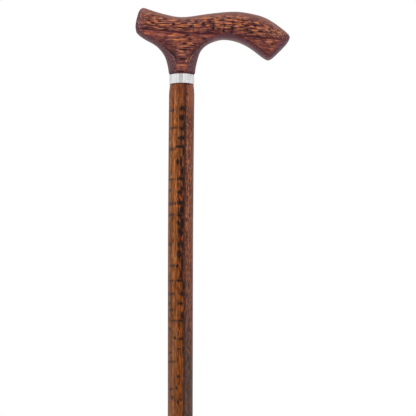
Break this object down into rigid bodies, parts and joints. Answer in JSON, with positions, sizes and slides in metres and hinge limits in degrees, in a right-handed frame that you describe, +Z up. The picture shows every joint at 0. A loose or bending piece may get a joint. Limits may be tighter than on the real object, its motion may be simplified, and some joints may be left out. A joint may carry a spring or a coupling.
{
  "type": "walking cane",
  "caption": "Straight wooden walking cane with a carved Fritz handle, a polished metal collar, a tapered shaft and a ribbed rubber foot.",
  "frame": {"origin": "on the ground at the centre of the rubber tip's sole, on the shaft's axis", "axes": "+Z up the shaft, +X towards the handle's long tail, -Y the side that the picture shows"},
  "size_m": [0.1336, 0.0344, 0.9141],
  "materials": {
    "handle_wood": "stained, satin lacquer",
    "collar_metal": "polished",
    "shaft_wood": "stained, satin lacquer",
    "screw_steel": "rolled thread",
    "washer_steel": "stamped",
    "tip_rubber": "moulded, matte"
  },
  "bodies": {
    "root": {"handle": "handle_wood", "collar": "collar_metal", "shaft": "shaft_wood", "joining_screw": "screw_steel", "tip_washer": "washer_steel", "rubber_tip": "tip_rubber"}
  },
  "joints": []
}
